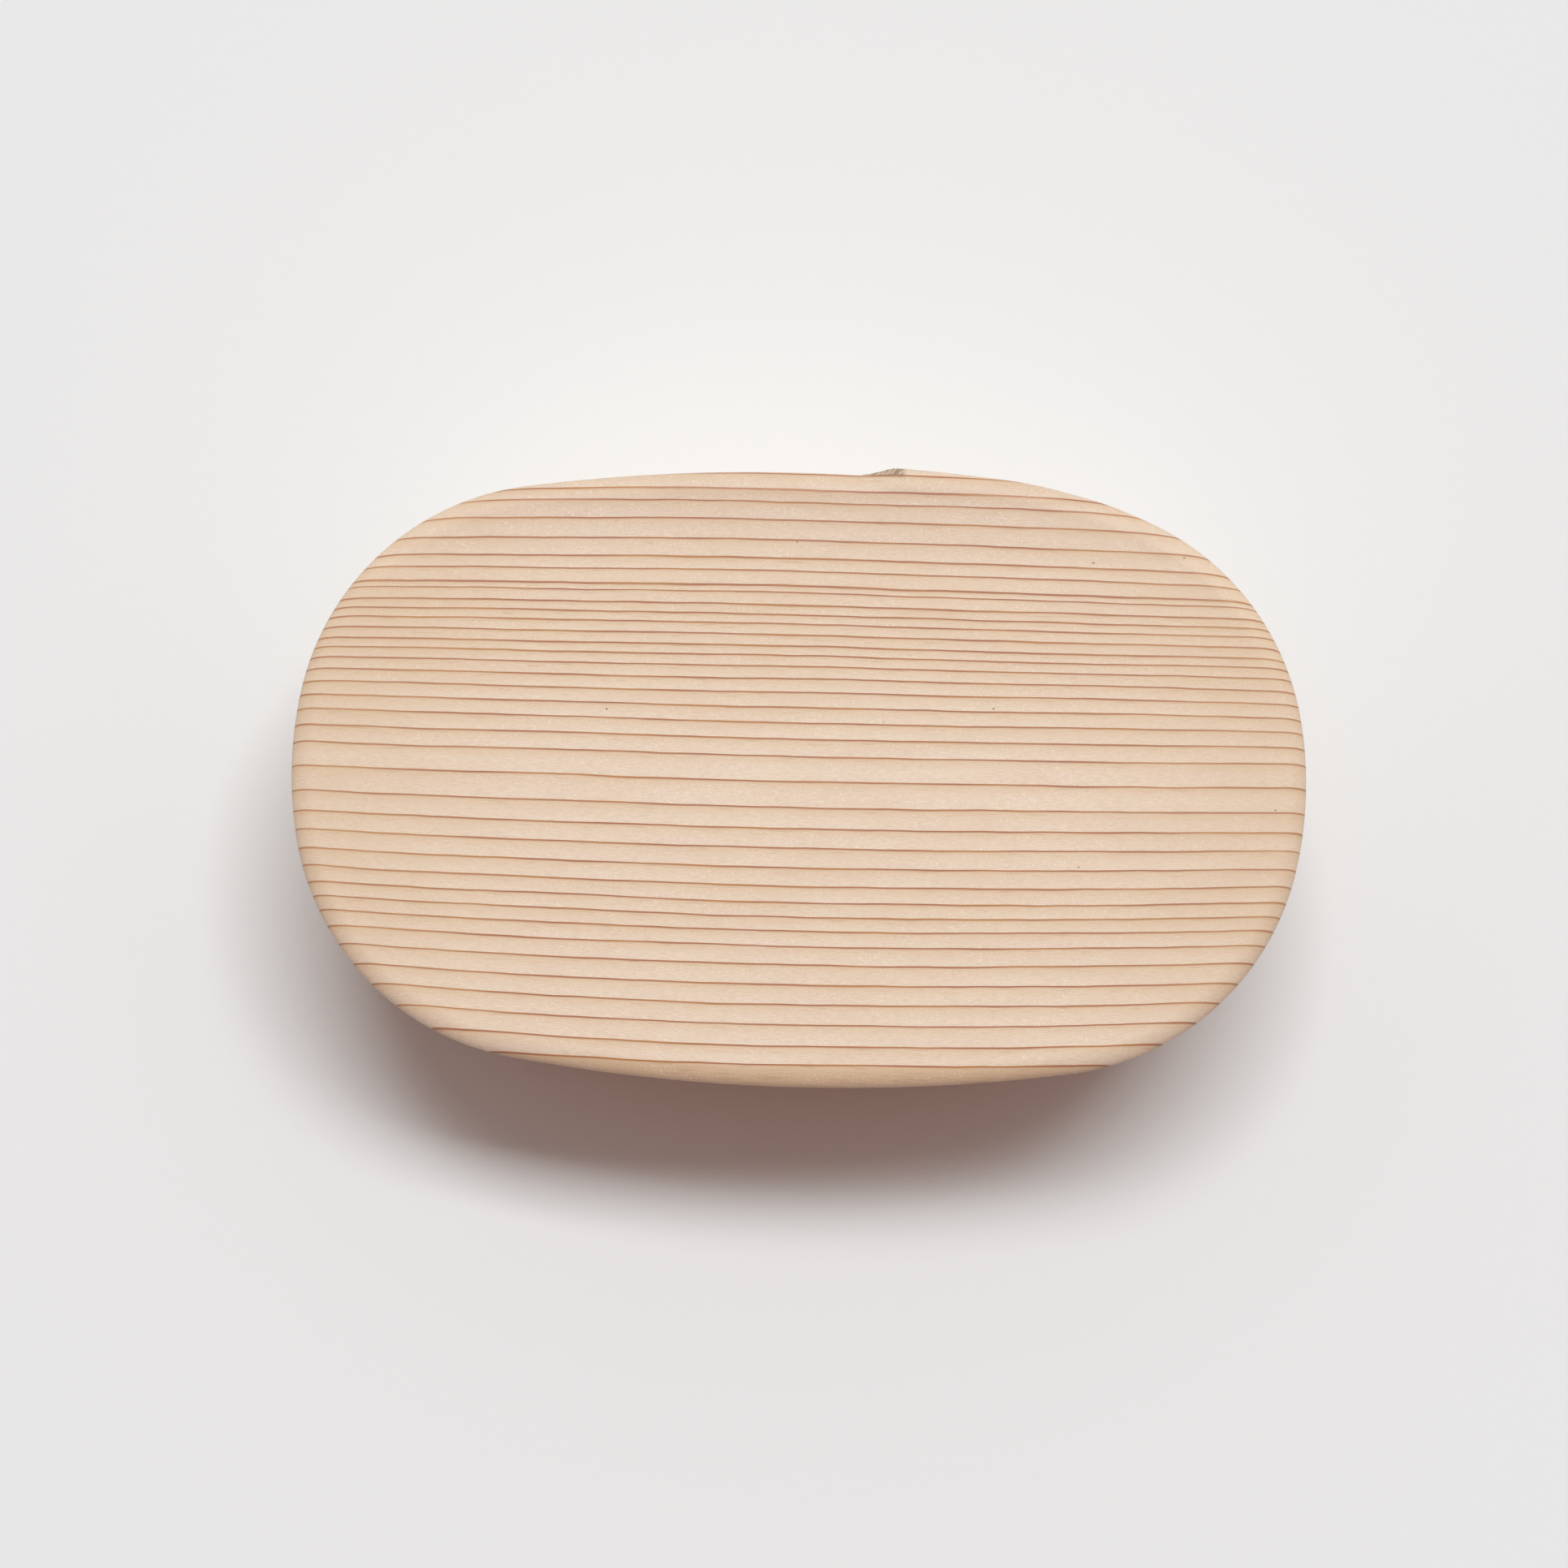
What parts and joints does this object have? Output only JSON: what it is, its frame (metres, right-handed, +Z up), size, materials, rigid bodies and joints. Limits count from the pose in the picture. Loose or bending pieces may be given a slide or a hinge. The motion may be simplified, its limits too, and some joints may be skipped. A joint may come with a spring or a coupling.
{
  "type": "bentwood bento box",
  "caption": "Oval bentwood lunch box in pale cedar: a deep cover lid slides over a bent-band body with carved top and bottom boards, bark-sewn laps and a loose divider.",
  "frame": {"origin": "on the table, below the middle of the oval, at the centre of the flat underside of the bottom board", "axes": "+X along the length of the box, +Y towards the lapped and sewn back, +Z up through the lid"},
  "size_m": [0.18, 0.1103, 0.0601],
  "materials": {
    "cedar_board": "bare planed straight-grained cedar, pale pinkish cream with thin reddish ring lines",
    "cedar_band": "bare planed straight-grained cedar strip, bent, with fine level ring lines",
    "cherry_bark": "smooth reddish-brown cherry bark, slightly glossy, with fine cross streaks",
    "cedar_divider": "bare planed thin cedar board"
  },
  "bodies": {
    "body": {"body_band": "cedar_band", "bottom_board": "cedar_board", "body_bark_sewing": "cherry_bark"},
    "lid": {"lid_board": "cedar_board", "lid_band": "cedar_band", "lid_bark_sewing": "cherry_bark"},
    "divider": {"divider": "cedar_divider"}
  },
  "joints": [
    {"name": "lid_lift", "type": "slide", "parent": "body", "child": "lid", "axis": [0, 0, 1], "range_m": [0, 0.06]},
    {"name": "divider_shift", "type": "slide", "parent": "body", "child": "divider", "axis": [1, 0, 0], "range_m": [-0.042, 0]}
  ]
}
